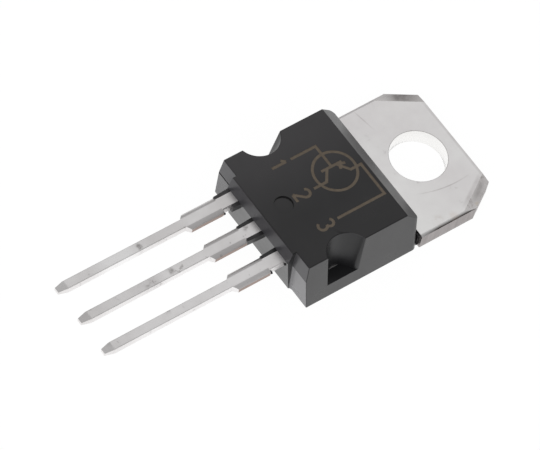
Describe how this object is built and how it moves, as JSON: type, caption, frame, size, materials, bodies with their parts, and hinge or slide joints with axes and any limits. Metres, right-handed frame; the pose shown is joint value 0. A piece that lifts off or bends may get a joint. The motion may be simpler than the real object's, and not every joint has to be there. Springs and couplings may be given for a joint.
{
  "type": "pnp transistor",
  "caption": "Plastic power transistor: black moulded body on a metal tab with a screw hole, and straight tinned leads in a row for soldering into a board.",
  "frame": {"origin": "centre of the mounting hole, in the plane of the tab's back face", "axes": "+Z out of the back face towards the marked face, +Y towards the free edge of the tab, the leads point to -Y, the base lead is on -X and the emitter lead on +X"},
  "size_m": [0.0102, 0.0296, 0.0044],
  "materials": {
    "mould_compound": "fine matt, as moulded",
    "tinned_copper": "satin tin plating over copper",
    "solder": "dull",
    "silicon": "polished",
    "bond_wire": "bright drawn"
  },
  "bodies": {
    "root": {"epoxy_body": "mould_compound", "collector_frame": "tinned_copper", "base_lead": "tinned_copper", "emitter_lead": "tinned_copper", "die_solder": "solder", "silicon_die": "silicon", "base_bond_wire": "bond_wire", "emitter_bond_wire_left": "bond_wire", "emitter_bond_wire_right": "bond_wire"}
  },
  "joints": []
}
